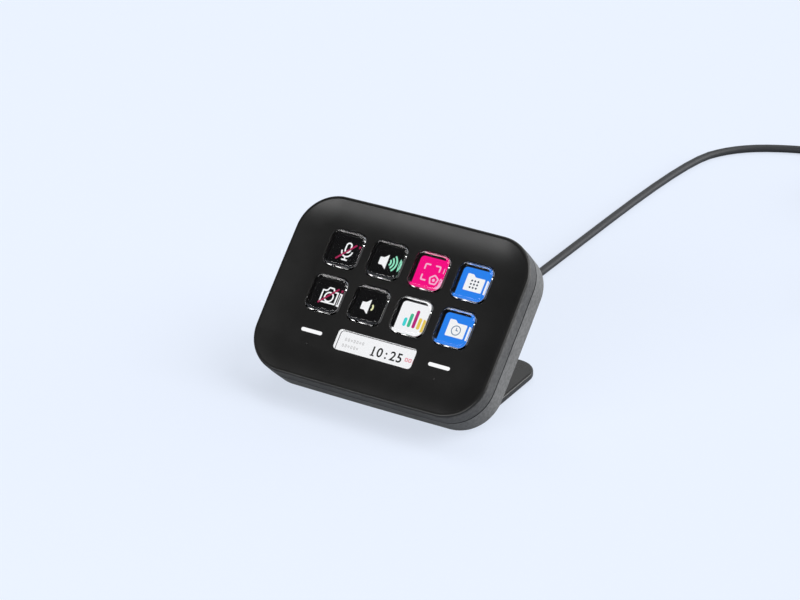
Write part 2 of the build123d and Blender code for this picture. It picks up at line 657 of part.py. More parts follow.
with BuildPart() as cable_coil:
    with BuildSketch(Plane.XY.offset(coil_base)):
        with Locations((coil_x, coil_y)):
            Circle(coil_outer)
            Circle(coil_inner, mode=Mode.SUBTRACT)
    extrude(amount=coil_height)
    fillet(cable_coil.edges(), radius=coil_fillet)
cable_coil.part.label = "cable_coil"
export_step(cable_coil.part, "parts/cable_coil.step")

with BuildPart() as cable_tie:
    tie_span = tie_far - tie_near
    tie_rise = coil_height + clear
    tie_middle_y = coil_y - (tie_near + tie_far) / 2
    tie_middle_z = coil_base + coil_height / 2
    lap_z = tie_middle_z + tie_rise / 2 + 1.5 * tie_thickness
    with BuildSketch(Plane.YZ.offset(coil_x - tie_width / 2)):
        with Locations((tie_middle_y, tie_middle_z)):
            strap = (tie_span + 2 * tie_thickness, tie_rise + 2 * tie_thickness)
            RectangleRounded(*strap, tie_corner + tie_thickness)
            RectangleRounded(tie_span, tie_rise, tie_corner, mode=Mode.SUBTRACT)
        with Locations((tie_middle_y, lap_z)):
            Rectangle(tie_lap, tie_thickness)
    extrude(amount=tie_width)
cable_tie.part.label = "cable_tie"
export_step(cable_tie.part, "parts/cable_tie.step")

with BuildPart() as cable_tail:
    tail_length = lay_cable(tail_route)
cable_tail.part.label = "cable_tail"
export_step(cable_tail.part, "parts/cable_tail.step")
for name, route, cable, length in (
    ("cable_run", cable_route, cable_run, run_length),
    ("cable_tail", tail_route, cable_tail, tail_length),
):
    ratio = cable.part.volume / (pi * cable_radius**2 * length)
    print(name, "radii", [round(radius, 1) for radius in bend_radii(route)], "volume ratio", round(ratio, 4))

# ---- USB plug: tapered overmould, folded shell and tongue -----------------------------------------
plug_x, plug_y = tail_route[-1][0], tail_route[-1][1]
neck_length, grip_length, shell_length = 7.0, 24.0, 18.7
neck_radius, neck_root = 2.4, 3.2
grip_start, grip_size, grip_corner = (11.5, 7.0), (15.6, 8.2), 2.4
grip_taper, grip_fillet = 5.0, 0.6
shell_width, shell_height, shell_wall, shell_corner = 12.0, 4.5, 0.35, 0.4
latch_size, latch_u, latch_reach = 2.4, 2.7, 11.0   # the square holes in the plug's shell
tongue_height, tongue_gap, tongue_sink = 1.84, 0.05, 0.8


def plug_plane(reach):
    """A plane across the plug, at a reach from the cable's end."""
    return Plane((plug_x, plug_y - reach, plug_z), x_dir=(1, 0, 0), z_dir=(0, -1, 0))


with BuildPart() as plug_grip:
    with BuildSketch(plug_plane(0)):
        Circle(neck_radius)
    with BuildSketch(plug_plane(neck_length)):
        Circle(neck_root)
    loft()
    with BuildSketch(plug_plane(neck_length)):
        RectangleRounded(*grip_start, grip_corner)
    with BuildSketch(plug_plane(neck_length + grip_taper)):
        RectangleRounded(*grip_size, grip_corner)
    loft()
    with BuildSketch(plug_plane(neck_length + grip_taper)):
        RectangleRounded(*grip_size, grip_corner)
    extrude(amount=grip_length - grip_taper)
    fillet(plug_grip.faces().sort_by(Axis.Y)[0].edges(), radius=grip_fillet)
plug_grip.part.label = "plug_grip"
export_step(plug_grip.part, "parts/plug_grip.step")

shell_start = neck_length + grip_length
with BuildPart() as plug_shell:
    with BuildSketch(plug_plane(shell_start)):
        RectangleRounded(shell_width, shell_height, shell_corner)
        shell_hole = (shell_width - 2 * shell_wall, shell_height - 2 * shell_wall)
        RectangleRounded(*shell_hole, shell_corner - shell_wall, mode=Mode.SUBTRACT)
    extrude(amount=shell_length)
    with BuildSketch(Plane.XY.offset(plug_z)):
        with Locations(*[(plug_x + x * latch_u, plug_y - shell_start - latch_reach) for x in (-1, 1)]):
            Rectangle(latch_size, latch_size)
    extrude(amount=shell_height, both=True, mode=Mode.SUBTRACT)
plug_shell.part.label = "plug_shell"
export_step(plug_shell.part, "parts/plug_shell.step")

with BuildPart() as plug_tongue:
    tongue_z = -shell_height / 2 + shell_wall + tongue_gap + tongue_height / 2
    with BuildSketch(plug_plane(shell_start)):
        with Locations((0, tongue_z)):
            Rectangle(shell_width - 2 * (shell_wall + tongue_gap), tongue_height)
    extrude(amount=shell_length - tongue_sink)
plug_tongue.part.label = "plug_tongue"
export_step(plug_tongue.part, "parts/plug_tongue.step")

print("cable laid", round(run_length + tail_length), "mm; foot reach", round(foot_rear_y - deck_y), "mm")
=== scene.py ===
# A desk display keypad: eight clear keys over lit pictures, an info bar and two touch bars in a
# dished black faceplate, held at 45 degrees by a bent plate stand, with a captive cable.
#
# Metres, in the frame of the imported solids. Places on the slab are (across, up, height): across,
# up the slab, and out of the flat key deck.

from math import atan2, cos, pi, radians, sin

import bmesh
import bpy
from mathutils import Matrix, Vector


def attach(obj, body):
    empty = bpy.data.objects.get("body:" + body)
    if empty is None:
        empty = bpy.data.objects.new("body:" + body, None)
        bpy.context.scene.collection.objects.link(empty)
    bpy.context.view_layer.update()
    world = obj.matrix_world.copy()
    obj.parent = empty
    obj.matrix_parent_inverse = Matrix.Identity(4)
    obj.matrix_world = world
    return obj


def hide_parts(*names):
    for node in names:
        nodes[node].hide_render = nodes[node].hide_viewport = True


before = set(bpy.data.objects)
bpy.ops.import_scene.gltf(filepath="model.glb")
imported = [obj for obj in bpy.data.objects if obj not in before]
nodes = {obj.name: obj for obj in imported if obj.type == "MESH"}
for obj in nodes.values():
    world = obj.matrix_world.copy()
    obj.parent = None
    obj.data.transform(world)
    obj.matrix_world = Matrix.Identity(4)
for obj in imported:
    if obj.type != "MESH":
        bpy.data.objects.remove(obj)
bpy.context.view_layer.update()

# ---- measures, as in the solids -----------------------------------------------------------------
tilt = radians(45)
deck_middle = Vector((0, -0.0073554, 0.0381621))
deck = Matrix.Translation(deck_middle) @ Matrix.Rotation(tilt, 4, "X")
parting_height = -0.004975

key_pitch = 0.01965
key_columns, key_rows = 4, 2
key_grid_up = 0.00774
key_size, key_corner = 0.0150, 0.0032
key_proud, key_foot = 0.0010, -0.0022
flange_reach, flange_height = 0.0010, 0.0007
facet_width, facet_drop = 0.0010, 0.00065
panel_top = -0.0040
mat_top = -0.00335
bar_up = -0.01849
window_width, window_height, window_corner = 0.0359, 0.00855, 0.0016

cable_radius = 0.00175
cable_exit_up = 0.013
relief_end = -0.0284
coil_x, coil_y = 0.100, 0.259
plug_x, plug_z = 0.1296, 0.00415


def slab_spot(across, up, height):
    """The room position of a place on the slab."""
    return deck @ Vector((across, up, height))


# ---- camera and lamps ---------------------------------------------------------------------------
camera_place = (0.55609, -0.89952, 0.57339)
camera_azimuth, camera_elevation, camera_roll = radians(31.753), radians(26.870), radians(-0.669)
camera_lens, camera_sensor = 135, 36

lamp_distance = 2.0
sky_direction, sky_along = (0.74, 0.20, 0.64), (0, 1, 0)
sky_strength, sky_width = 2.55, radians(58)

# Soft panels: the direction that each hangs in, where its width points, its width and height in
# metres and its power in watts.
panels = [
    ("front_panel", (-0.13, -0.91, 0.36), (1, 0, 0), 2.2, 0.7, 23.0),
    ("top_panel", (-0.24, 0.43, 0.87), (0.63, -0.27, 0.23), 2.0, 0.6, 10.5),
    ("right_panel", (0.72, 0.68, 0.15), (-0.68, 0.72, 0), 1.5, 0.5, 11.0),
]


def set_camera():
    """A long lens, 32 degrees to the right of the keypad's front and 27 degrees up."""
    azimuth, elevation, roll = camera_azimuth, camera_elevation, camera_roll
    flat = cos(elevation)
    back = Vector((sin(azimuth) * flat, -cos(azimuth) * flat, sin(elevation)))
    level = Vector((cos(azimuth), sin(azimuth), 0))
    upright = back.cross(level)
    right = cos(roll) * level + sin(roll) * upright
    up = cos(roll) * upright - sin(roll) * level
    lens = bpy.data.cameras.new("camera")
    lens.lens = camera_lens
    lens.sensor_width = camera_sensor
    lens.clip_start = 0.05
    lens.clip_end = 20
    camera = bpy.data.objects.new("camera", lens)
    bpy.context.scene.collection.objects.link(camera)
    turned = Matrix((right, up, back)).transposed().to_4x4()
    camera.matrix_world = Matrix.Translation(camera_place) @ turned
    bpy.context.scene.camera = camera


def hang_lamp(light, direction, along):
    """Hangs a light in a direction from the keypad, facing it, with its width along another."""
    lamp = bpy.data.objects.new(light.name, light)
    bpy.context.scene.collection.objects.link(lamp)
    back = Vector(direction).normalized()
    upright = back.cross(Vector(along)).normalized()
    turned = Matrix((upright.cross(back), upright, back)).transposed().to_4x4()
    lamp.matrix_world = Matrix.Translation(deck_middle + back * lamp_distance) @ turned


def hang_lamps():
    """A wide soft sky light and three soft panels."""
    sky = bpy.data.lights.new("sky", "SUN")
    sky.energy = sky_strength
    sky.angle = sky_width
    hang_lamp(sky, sky_direction, sky_along)
    for name, direction, along, width, height, power in panels:
        panel = bpy.data.lights.new(name, "AREA")
        panel.shape = "RECTANGLE"
        panel.size = width
        panel.size_y = height
        panel.energy = power
        hang_lamp(panel, direction, along)


# ---- shader nodes -------------------------------------------------------------------------------
class Value:
    """One output of a shader node. Arithmetic on it adds Math nodes."""

    def __init__(self, shading, socket):
        self.shading = shading
        self.socket = socket

    def worked(self, operation, first, second):
        return self.shading.add("ShaderNodeMath", {"operation": operation}, {0: first, 1: second})

    def __add__(self, other):
        return self.worked("ADD", self, other)

    def __sub__(self, other):
        return self.worked("SUBTRACT", self, other)

    def __rsub__(self, other):
        return self.worked("SUBTRACT", other, self)

    def __mul__(self, other):
        return self.worked("MULTIPLY", self, other)

    __radd__ = __add__
    __rmul__ = __mul__


class Shading:
    """The shader nodes of a finish or of the room."""

    def __init__(self, tree):
        self.tree = tree

    def feed(self, node, sockets):
        """Gives a node's sockets their values or links."""
        for name, value in sockets.items():
            if isinstance(value, Value):
                self.tree.links.new(value.socket, node.inputs[name])
            else:
                node.inputs[name].default_value = value

    def add(self, kind, settings={}, sockets={}, output=0):
        """Any node: its settings first, then its sockets. Gives one of its outputs."""
        node = self.tree.nodes.new(kind)
        for name, value in settings.items():
            if name == "stops":
                stops = node.color_ramp.elements
                for stop, (position, shade) in zip((stops[0], stops[1]), value):
                    stop.position = position
                    stop.color = (shade, shade, shade, 1)
            else:
                setattr(node, name, value)
        self.feed(node, sockets)
        return Value(self, node.outputs[output])

    def ramp(self, share, low, high):
        """0 below one value and 1 above another."""
        return self.add("ShaderNodeValToRGB", {"stops": ((low, 0), (high, 1))}, {0: share})

    def blend(self, share, first, second):
        """One colour into another."""
        sockets = {0: share, 6: first, 7: second}
        return self.add("ShaderNodeMix", {"data_type": "RGBA"}, sockets, output=2)


class Finish(Shading):
    """A material: constants on its shader, and nodes that draw what changes over the surface."""

    def __init__(self, name, constants):
        self.material = bpy.data.materials.new(name)
        self.material.use_nodes = True
        super().__init__(self.material.node_tree)
        self.tree.nodes.clear()
        self.output = self.tree.nodes.new("ShaderNodeOutputMaterial")
        self.surface = self.add("ShaderNodeBsdfPrincipled", {}, constants)
        self.show(self.surface)
        self.spot = self.add("ShaderNodeTexCoord", output="Object")

    def show(self, surface):
        """Makes a shader the one that the material shows."""
        self.tree.links.new(surface.socket, self.output.inputs[0])

    def turned(self, turn=(0, 0, 0), stretch=(1, 1, 1)):
        """Object coordinates, turned and stretched."""
        sockets = {"Vector": self.spot, "Rotation": turn, "Scale": stretch}
        return self.add("ShaderNodeMapping", {}, sockets)

    def grain(self, size, detail=2.0, spot=None):
        """Noise from 0 to 1 whose spots are about a given size."""
        sockets = {"Vector": spot or self.spot, "Scale": 1 / size, "Detail": detail}
        return self.add("ShaderNodeTexNoise", {}, sockets)

    def bands(self, direction, spot, scale):
        """Even waves from 0 to 1 along X or Y."""
        settings = {"bands_direction": direction}
        return self.add("ShaderNodeTexWave", settings, {"Vector": spot, "Scale": scale})

    def draw(self, colour=None, roughness=None, height=None, depth=0.0, glow=None):
        """Links what changes over the surface to the shader."""
        drawn = {"Base Color": colour, "Roughness": roughness, "Emission Color": glow}
        if height is not None:
            bump = {"Height": height, "Distance": depth}
            drawn["Normal"] = self.add("ShaderNodeBump", {}, bump)
        given = {name: value for name, value in drawn.items() if value is not None}
        self.feed(self.surface.socket.node, given)
        return self.material


# ---- room ---------------------------------------------------------------------------------------
pale_blue = (0.815, 0.878, 0.995, 1.0)
floor_dim = (0.23, 0.245, 0.27, 1.0)
room_horizon = (0.26, 0.27, 0.29, 1.0)
room_grey = (0.08, 0.081, 0.083, 1.0)
wall_white = (0.70, 0.72, 0.74, 1.0)

# Where the room changes over the directions round the keypad: the horizon fades upwards into
# grey, and a pale wall stands behind the keypad, up to a soft top edge.
horizon_fade = (0.10, 0.30)
wall_fade = (0.30, 0.62)
wall_top_fade = (0.42, 0.62)

# In view the floor is partly its own glow. Mirrored, or seen through a clear piece, it is partly
# the pale floor, and to all other light it is the dim one.
floor_glow, mirrored_share = 0.7, 0.4


def set_room():
    """A dim room with a pale wall behind the keypad."""
    world = bpy.data.worlds.new("studio")
    bpy.context.scene.world = world
    world.use_nodes = True
    room = Shading(world.node_tree)
    direction = room.add("ShaderNodeTexCoord", output="Generated")
    back = room.add("ShaderNodeSeparateXYZ", {}, {0: direction}, output="Y")
    height = room.add("ShaderNodeSeparateXYZ", {}, {0: direction}, output="Z")
    grey = room.blend(room.ramp(height, *horizon_fade), room_horizon, room_grey)
    wall = room.ramp(back, *wall_fade) * (1 - room.ramp(height, *wall_top_fade))
    room.feed(room.tree.nodes["Background"], {"Color": room.blend(wall, grey, wall_white)})


def add_floor():
    """A pale matt floor with a faint shadow, which lights the object less than it shows."""
    deselect()
    bpy.ops.mesh.primitive_plane_add(size=8, location=(0, 0, 0))
    floor = bpy.context.object
    floor.name = "floor"
    constants = {"Base Color": pale_blue, "Roughness": 0.9, "Specular IOR Level": 0.0}
    finish = Finish("floor_pale", constants)
    in_view = finish.add("ShaderNodeLightPath", output="Is Camera Ray")
    glossy = finish.add("ShaderNodeLightPath", output="Is Glossy Ray")
    through = finish.add("ShaderNodeLightPath", output="Is Transmission Ray")
    glow = finish.add("ShaderNodeEmission", {}, {"Color": pale_blue})
    dim = finish.add("ShaderNodeBsdfDiffuse", {}, {"Color": floor_dim})
    own_glow = in_view * floor_glow
    pale = finish.add("ShaderNodeMixShader", {}, {0: own_glow, 1: finish.surface, 2: glow})
    seen = in_view + mirrored_share * (glossy + through)
    finish.show(finish.add("ShaderNodeMixShader", {}, {0: seen, 1: dim, 2: pale}))
    floor.data.materials.append(finish.material)


# ---- finishes -----------------------------------------------------------------------------------
wave_period = pi / 10    # of even bands at a scale of 1
pixel_scale = 1500

# The seam between the shells, as a height in coordinates turned level with the deck.
seam_level = (Matrix.Rotation(-tilt, 3, "X") @ deck_middle).z + parting_height
# Painted shade: a near-black band this far either side of the seam, standing in for the shadow in
# the gap between the shells.
painted_seam_reach = 0.00036
painted_seam_shade = (0.004, 0.004, 0.004, 1.0)


def tint(red, green, blue):
    """An opaque colour."""
    return (red, green, blue, 1.0)


def spark_plastic(name, dark, light, roughness, gloss, speckle=0.0, seam=False):
    """Moulded plastic with a spark-eroded texture: fine pits, mottling and handling marks.

    Speckle is the share of small spots in the mottling. Where the shells meet, a near-black band
    of painted shade is laid along the seam, standing in for the shadow in the gap."""
    finish = Finish(name, {"Specular IOR Level": gloss})
    mottle = finish.grain(0.011, 4)
    if speckle:
        spots = finish.ramp(finish.grain(0.0011, 2), 0.40, 0.60)
        mottle = mottle * (1 - speckle) + speckle * spots
    streaks = finish.grain(0.004, 6, finish.turned((0.3, 0.2, 0.6), (1, 0.25, 1)))
    marks = finish.ramp(streaks, 0.58, 0.78)
    pits = finish.grain(0.00022, 3)
    pit_depth = 0.000012
    colour = finish.blend(mottle, dark, light)
    # Painted shade: the colour turns near-black close to the seam, where the gap between the
    # shells lies in shadow.
    if seam:
        level = finish.turned((-tilt, 0, 0))
        height = finish.add("ShaderNodeSeparateXYZ", {}, {0: level}, output="Z")
        limits = {0: height, 1: seam_level, 2: painted_seam_reach}
        seam_shade_mask = finish.add("ShaderNodeMath", {"operation": "COMPARE"}, limits)
        colour = finish.blend(seam_shade_mask, colour, painted_seam_shade)
    dull = roughness + 0.10 * (mottle - 0.5) - 0.05 * marks + 0.08 * (pits - 0.5)
    return finish.draw(colour, dull, pits + 0.15 * mottle, pit_depth)


def clear_plastic(name, roughness, colour):
    """Polished clear acrylic with faint finger smears."""
    finish = Finish(name, {"Transmission Weight": 1.0, "IOR": 1.49, "Base Color": colour})
    smears = finish.ramp(finish.grain(0.006, 5), 0.6, 0.85)
    return finish.draw(roughness=roughness + 0.03 * smears)


def soft_rubber(name, dark, light, roughness, rib_pitch=0.0):
    """Rubber or soft vinyl: matt, a little dusty, with ribs across X if they have a pitch."""
    finish = Finish(name, {"Specular IOR Level": 0.35})
    dust = finish.grain(0.002, 6)
    cloud = finish.grain(0.015, 3)
    height = finish.grain(0.0003, 2)
    relief_depth = 0.00003
    if rib_pitch:
        height = height * 0.2 + finish.bands("X", finish.spot, wave_period / rib_pitch)
    colour = finish.blend(cloud, dark, light)
    return finish.draw(colour, roughness + 0.14 * (dust - 0.5), height, relief_depth)


def drawn_metal(name, colour, shade, roughness, stretch=(1, 1, 1)):
    """Plated or rolled metal with fine lines in one direction."""
    finish = Finish(name, {"Metallic": 1.0})
    lines = finish.grain(0.0006, 4, finish.turned((0, 0, 0), stretch))
    cloud = finish.grain(0.006, 3)
    line_depth = 0.000004
    dull = roughness + 0.16 * (lines - 0.5)
    return finish.draw(finish.blend(cloud, colour, shade), dull, lines, line_depth)


def lit_colour(name, colour, dim):
    """A lit part of a display, with the fine grid of its pixels."""
    unlit = {"Base Color": tint(0, 0, 0), "Roughness": 0.6, "Specular IOR Level": 0.0}
    finish = Finish(name, {**unlit, "Emission Strength": 1.0})
    flat = finish.turned((-tilt, 0, 0))
    rows = finish.bands("Y", flat, pixel_scale)
    columns = finish.bands("X", flat, pixel_scale)
    shade = tint(*(part * dim for part in colour[:3]))
    return finish.draw(glow=finish.blend(rows * columns, shade, colour))


def circuit_board(name):
    """Green solder mask over faint copper tracks."""
    finish = Finish(name, {"Coat Weight": 0.4})
    flat = finish.turned((-tilt, 0, 0))
    sockets = {"Vector": flat, "Scale": 420.0, "Mortar Size": 0.06}
    tracks = finish.add("ShaderNodeTexBrick", {"offset": 0.35}, sockets, output="Fac")
    track_height = 0.00003
    colour = finish.blend(tracks, tint(0.012, 0.10, 0.045), tint(0.03, 0.19, 0.08))
    return finish.draw(colour, 0.35 + 0.2 * finish.grain(0.003), tracks, track_height)


# Pairs of shades that a finish runs between.
deck_black = (tint(0.0070, 0.0069, 0.0067), tint(0.0105, 0.0103, 0.0100))
front_grey = (tint(0.044, 0.043, 0.042), tint(0.122, 0.121, 0.119))
back_grey = (tint(0.105, 0.105, 0.104), tint(0.226, 0.226, 0.224))
stand_grey = (tint(0.018, 0.018, 0.018), tint(0.024, 0.024, 0.023))
cable_grey = (tint(0.030, 0.032, 0.035), tint(0.045, 0.047, 0.051))
rubber_black = (tint(0.012, 0.012, 0.013), tint(0.02, 0.02, 0.021))
panel_black = (tint(0.003, 0.003, 0.004), tint(0.006, 0.006, 0.007))
diffuser_white = (tint(0.75, 0.76, 0.78), tint(0.84, 0.85, 0.86))
flex_amber = (tint(0.42, 0.19, 0.03), tint(0.52, 0.25, 0.05))
chip_black = (tint(0.012, 0.012, 0.013), tint(0.022, 0.022, 0.024))
connector_cream = (tint(0.66, 0.6, 0.46), tint(0.72, 0.67, 0.54))
tongue_black = (tint(0.01, 0.01, 0.01), tint(0.02, 0.02, 0.02))
tray_steel = (tint(0.55, 0.56, 0.58), tint(0.42, 0.43, 0.45))
spacer_brass = (tint(0.72, 0.55, 0.25), tint(0.6, 0.44, 0.18))
zinc_steel = (tint(0.5, 0.5, 0.52), tint(0.4, 0.4, 0.42))
dark_steel = (tint(0.12, 0.12, 0.125), tint(0.2, 0.2, 0.21))
foil_copper = (tint(0.72, 0.4, 0.22), tint(0.6, 0.3, 0.16))
plug_nickel = (tint(0.72, 0.72, 0.73), tint(0.62, 0.62, 0.64))
clear = tint(1, 1, 1)

# The finish of each solid that the scene keeps.
solid_finishes = {
    "faceplate": spark_plastic("faceplate_black", *deck_black, 0.37, 0.5),
    "front_shell": spark_plastic("shell_grey_front", *front_grey, 0.40, 0.5, 0.55, True),
    "back_shell": spark_plastic("shell_grey_back", *back_grey, 0.44, 0.5, 0.55, True),
    "stand": spark_plastic("stand_grey", *stand_grey, 0.30, 0.5),
    "foot_pads": soft_rubber("pad_rubber", *rubber_black, 0.8),
    "infobar_window": clear_plastic("window_clear", 0.03, clear),
    "key_mat": soft_rubber("mat_silicone", *rubber_black, 0.75),
    "lcd_panel": spark_plastic("panel_glass", *panel_black, 0.5, 0.2),
    "backlight": spark_plastic("diffuser_white", *diffuser_white, 0.5, 0.5),
    "lcd_tray": drawn_metal("tray_steel", *tray_steel, 0.36, (1, 12, 12)),
    "display_flex": spark_plastic("flex_amber", *flex_amber, 0.3, 0.5),
    "board_spacers": drawn_metal("brass", *spacer_brass, 0.28),
    "main_board": circuit_board("board_green"),
    "board_chips": spark_plastic("chip_black", *chip_black, 0.55, 0.5),
    "board_connectors": spark_plastic("connector_cream", *connector_cream, 0.45, 0.5),
    "board_screws": drawn_metal("board_screw_steel", *zinc_steel, 0.3),
    "case_screws": drawn_metal("case_screw_steel", *dark_steel, 0.38),
    "stand_screws": drawn_metal("stand_screw_steel", *dark_steel, 0.38),
    "touch_electrodes": drawn_metal("electrode_copper", *foil_copper, 0.33),
    "strain_relief": soft_rubber("relief_vinyl", *cable_grey, 0.55),
    "cable_tie": soft_rubber("tie_rubber", *rubber_black, 0.6, 0.0008),
    "plug_grip": spark_plastic("plug_black", *deck_black, 0.5, 0.5),
    "plug_shell": drawn_metal("plug_steel", *plug_nickel, 0.22, (12, 1, 12)),
    "plug_tongue": spark_plastic("tongue_black", *tongue_black, 0.4, 0.5),
}
cable_vinyl = soft_rubber("cable_vinyl", *cable_grey, 0.5)
key_acrylic = clear_plastic("key_clear", 0.02, clear)
lit_white = lit_colour("lit_white", tint(0.97, 0.98, 1.0), 0.97)
touch_glow = lit_colour("light_pipe_white", tint(0.98, 0.985, 1.0), 0.98)
lit_magenta = lit_colour("lit_magenta", tint(1.0, 0.0, 0.24), 0.95)
lit_pink = lit_colour("lit_pink", tint(1.0, 0.50, 0.74), 0.95)
lit_blue = lit_colour("lit_blue", tint(0.022, 0.24, 0.93), 0.95)
lit_crimson = lit_colour("lit_crimson", tint(0.40, 0.020, 0.095), 0.95)
lit_green = lit_colour("lit_green", tint(0.32, 0.85, 0.60), 0.95)
lit_yellow = lit_colour("lit_yellow", tint(0.90, 0.92, 0.52), 0.95)
lit_navy = lit_colour("lit_navy", tint(0.005, 0.02, 0.06), 0.9)
lit_slate = lit_colour("lit_slate", tint(0.09, 0.19, 0.33), 0.95)
lit_black = lit_colour("lit_black", tint(0.0015, 0.0015, 0.002), 0.9)
lit_silver = lit_colour("lit_silver", tint(0.60, 0.60, 0.61), 0.97)
lit_graphite = lit_colour("lit_graphite", tint(0.05, 0.05, 0.055), 0.97)
lit_rose = lit_colour("lit_rose", tint(0.87, 0.29, 0.36), 0.95)
chart_colours = [
    lit_colour("chart_teal", tint(0.05, 0.70, 0.72), 0.95),
    lit_colour("chart_green", tint(0.05, 0.52, 0.30), 0.95),
    lit_colour("chart_plum", tint(0.50, 0.02, 0.20), 0.95),
    lit_colour("chart_gold", tint(0.85, 0.62, 0.10), 0.95),
]


def dress_solids():
    """Gives each carried-over solid its finish."""
    for name, node in nodes.items():
        if name.startswith("touch_light"):
            material = touch_glow
        elif name in solid_finishes:
            material = solid_finishes[name]
        else:
            continue
        coat(node, material)


# ---- modelling ----------------------------------------------------------------------------------
near_half = 0.49    # just under half of a size, to round an end or to find an edge


def deselect():
    """Leaves edit mode and every object unselected."""
    if bpy.context.object and bpy.context.object.mode == "EDIT":
        bpy.ops.object.mode_set(mode="OBJECT")
    bpy.ops.object.select_all(action="DESELECT")


def open_rectangle(name, width, height, low):
    """A flat rectangle round the origin, left in edit mode."""
    deselect()
    bpy.ops.mesh.primitive_plane_add(size=1, location=(0, 0, 0))
    piece = bpy.context.object
    piece.name = name
    bpy.ops.object.mode_set(mode="EDIT")
    bpy.ops.transform.resize(value=(width, height, 1), center_override=(0, 0, 0))
    bpy.ops.transform.translate(value=(0, 0, low))
    return piece


def open_disc(name, radius, low, corners):
    """A flat disc or polygon round the origin, left in edit mode."""
    deselect()
    bpy.ops.mesh.primitive_circle_add(
        vertices=corners, radius=radius, fill_type="NGON", location=(0, 0, 0)
    )
    piece = bpy.context.object
    piece.name = name
    bpy.ops.object.mode_set(mode="EDIT")
    bpy.ops.transform.translate(value=(0, 0, low))
    return piece


def pick(piece, kind, test):
    """Selects the vertices, edges or faces whose middle passes a test."""
    bpy.ops.mesh.select_mode(type=kind)
    bpy.ops.mesh.select_all(action="DESELECT")
    form = bmesh.from_edit_mesh(piece.data)
    if kind == "VERT":
        for vertex in form.verts:
            vertex.select_set(bool(test(vertex.co)))
    else:
        for item in form.edges if kind == "EDGE" else form.faces:
            middle = sum((vertex.co for vertex in item.verts), Vector()) / len(item.verts)
            item.select_set(bool(test(middle)))
    bmesh.update_edit_mesh(piece.data)


def everywhere(middle):
    """A test that all of a piece passes."""
    return True


def round_corners(piece, radius, segments=6, test=everywhere):
    """Rounds the corners of a flat face."""
    pick(piece, "VERT", test)
    bpy.ops.mesh.bevel(offset=radius, segments=segments, affect="VERTICES")


def hollow(piece, stroke):
    """Leaves only a stroke round the edge of a flat face."""
    pick(piece, "FACE", everywhere)
    bpy.ops.mesh.inset(thickness=stroke)
    bpy.ops.mesh.delete(type="FACE")


def cut_away(piece, test):
    """Deletes the faces whose middle passes a test."""
    pick(piece, "FACE", test)
    bpy.ops.mesh.delete(type="FACE")


def cut_across(place, normal):
    """Cuts the open flat piece along a line."""
    bpy.ops.mesh.select_all(action="SELECT")
    bpy.ops.mesh.bisect(plane_co=place, plane_no=normal)


def pull(across, up, height):
    """Extrudes what is selected and moves it."""
    bpy.ops.mesh.extrude_region_move(TRANSFORM_OT_translate={"value": (across, up, height)})


def one_face():
    """Merges the open flat piece into one face."""
    bpy.ops.mesh.select_all(action="SELECT")
    bpy.ops.mesh.dissolve_limited(angle_limit=radians(1))


def close_up():
    """Points all faces outwards and leaves edit mode."""
    bpy.ops.mesh.select_all(action="SELECT")
    bpy.ops.mesh.normals_make_consistent(inside=False)
    bpy.ops.object.mode_set(mode="OBJECT")


def thicken(piece, depth):
    """Gives a flat piece its thickness and leaves edit mode."""
    pick(piece, "FACE", everywhere)
    pull(0, 0, depth)
    close_up()
    return piece


def set_in(piece, placing):
    """Moves a piece's mesh by a placing, so that its object stays at the origin."""
    deselect()
    piece.matrix_world = placing
    piece.select_set(True)
    bpy.context.view_layer.objects.active = piece
    bpy.ops.object.transform_apply(location=True, rotation=True, scale=True)
    return piece


def join(name, pieces):
    """Makes one piece of several."""
    deselect()
    for piece in pieces:
        piece.select_set(True)
    bpy.context.view_layer.objects.active = pieces[0]
    bpy.ops.object.join()
    pieces[0].name = name
    return pieces[0]


def coat(piece, material):
    """Gives a piece one finish."""
    piece.data.materials.clear()
    piece.data.materials.append(material)
    return piece


def copy_of(piece, name):
    """A copy of a piece, with its own mesh."""
    copied = piece.copy()
    copied.data = piece.data.copy()
    copied.name = name
    bpy.context.scene.collection.objects.link(copied)
    return copied


# ---- key caps -----------------------------------------------------------------------------------
cap_corner_segments, cap_edge_segments = 18, 4
shoulder_softness, top_softness = 0.00016, 0.00018


def clear_cap():
    """A clear cap round the origin: a flange, straight sides and a facet round the top."""
    flange_size = key_size + 2 * flange_reach
    shoulder = key_proud - facet_drop
    cap = open_rectangle("cap", flange_size, flange_size, key_foot)
    round_corners(cap, key_corner + flange_reach, cap_corner_segments)
    pick(cap, "FACE", everywhere)
    pull(0, 0, flange_height)
    bpy.ops.mesh.inset(thickness=flange_reach)
    pull(0, 0, shoulder - key_foot - flange_height)
    bpy.ops.mesh.inset(thickness=facet_width, depth=facet_drop)
    for height, softness in ((shoulder, shoulder_softness), (key_proud, top_softness)):
        pick(cap, "EDGE", lambda middle: abs(middle.z - height) < 0.00001)
        bpy.ops.mesh.bevel(offset=softness, segments=cap_edge_segments)
    close_up()
    bpy.ops.object.shade_smooth_by_angle(angle=radians(40))
    bpy.ops.object.modifier_add(type="WEIGHTED_NORMAL")
    cap.modifiers[-1].keep_sharp = True
    bpy.ops.object.modifier_apply(modifier=cap.modifiers[-1].name)
    return coat(cap, key_acrylic)


def key_middle(row, column):
    """Where a key stands on the deck."""
    across = (column - (key_columns + 1) / 2) * key_pitch
    up = key_grid_up + ((key_rows + 1) / 2 - row) * key_pitch
    return deck @ Matrix.Translation((across, up, 0))


def add_key_caps():
    """One clear cap over each picture, which rides on its own key."""
    cap = clear_cap()
    for row, column in pictures:
        key = copy_of(cap, f"clear_key_{row}_{column}")
        set_in(key, key_middle(row, column))
        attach(key, f"key_{row}_{column}")
        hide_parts(f"key_cap_{row}_{column}")
    bpy.data.objects.remove(cap)


